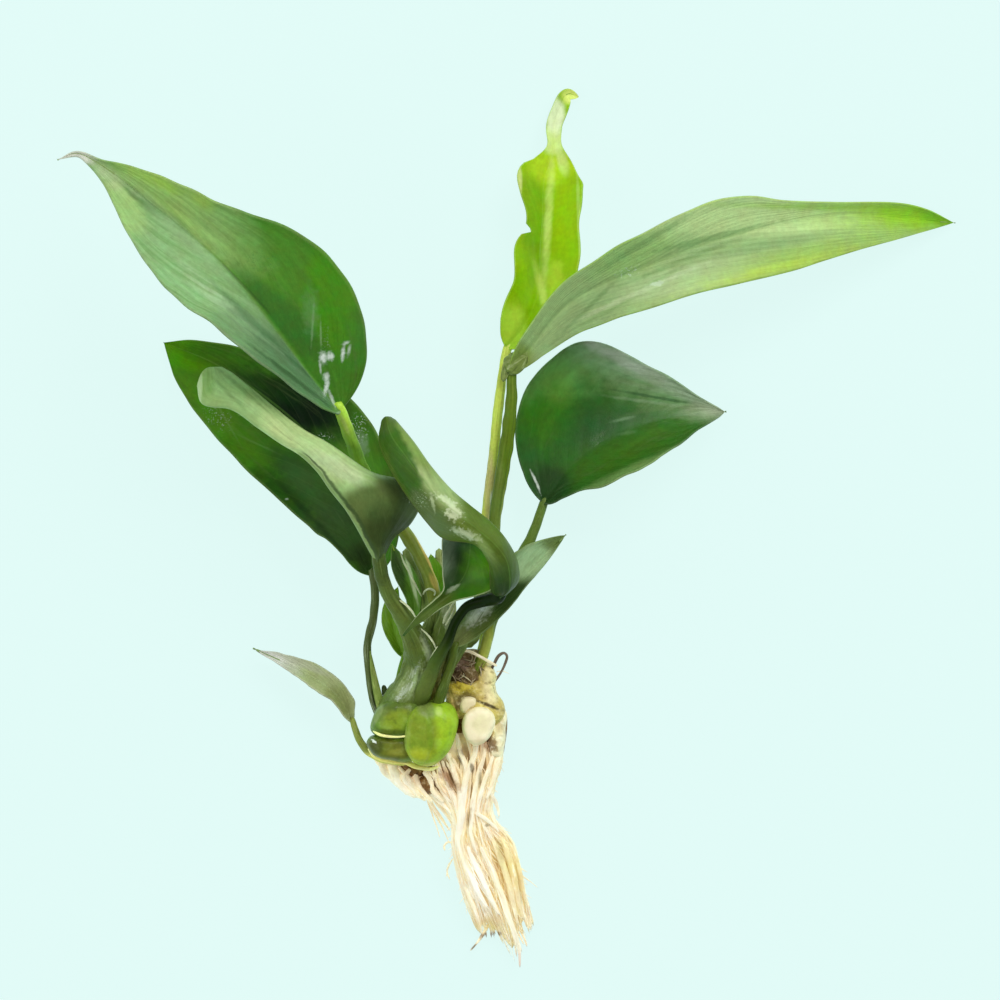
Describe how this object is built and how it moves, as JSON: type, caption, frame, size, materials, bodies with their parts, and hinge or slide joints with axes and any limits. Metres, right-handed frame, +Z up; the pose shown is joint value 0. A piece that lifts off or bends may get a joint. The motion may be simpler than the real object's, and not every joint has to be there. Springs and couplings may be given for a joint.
{
  "type": "bare-root anubias plant",
  "caption": "Bare-root anubias plant lying flat: broad and rolled green leaves on thin stalks, a green rhizome and a matted bundle of cream roots.",
  "frame": {"origin": "on the surface that the plant lies on, under the middle of its box", "axes": "+Z up from the surface, +Y from the roots towards the leaves, +X to the right of someone who looks down with the leaves at the top"},
  "size_m": [0.2336, 0.2294, 0.0629],
  "materials": {
    "leaf": "waxy satin, deep green, wet gloss in places",
    "leaf_dark": "waxy satin, dark green",
    "leaf_new": "thin satin, lime green with a cream tip",
    "leaf_under": "matt pale olive underside with a silver bloom",
    "leaf_pale": "dull pale grey-olive with a pinkish tip",
    "stalk": "satin, olive to lime green",
    "stalk_dark": "satin, dark green",
    "rhizome": "fleshy satin green with scar rings",
    "rhizome_old": "ochre with brown scars",
    "root": "matt cream with brown gaps",
    "root_brown": "matt brown"
  },
  "bodies": {
    "root": {"bud_left": "root_brown", "leaf_back_left": "leaf", "leaf_back_middle": "leaf", "leaf_back_right": "leaf", "leaf_heart_right": "leaf_dark", "leaf_long_right": "leaf", "leaf_lower_left": "leaf_dark", "leaf_new_upright": "leaf_new", "leaf_reflexed": "leaf", "leaf_rolled_left": "leaf_under", "leaf_rolled_middle": "leaf_under", "leaf_small_left": "leaf_pale", "leaf_small_right": "leaf", "leaf_upper_left": "leaf", "rhizome": "rhizome", "rhizome_back": "rhizome_old", "rhizome_stub": "root", "root_back_strand": "root", "root_loop": "root_brown", "root_mat": "root", "sheath_left": "leaf_pale", "stalk_back_left": "stalk", "stalk_back_middle": "stalk", "stalk_back_right": "stalk", "stalk_heart_right": "stalk", "stalk_long_right": "stalk", "stalk_lower_left": "stalk_dark", "stalk_new_upright": "stalk", "stalk_reflexed": "stalk", "stalk_rolled_left": "stalk", "stalk_rolled_middle": "stalk_dark", "stalk_small_left": "stalk", "stalk_small_right": "stalk", "stalk_upper_left": "stalk", "stub_small": "root"}
  },
  "joints": []
}
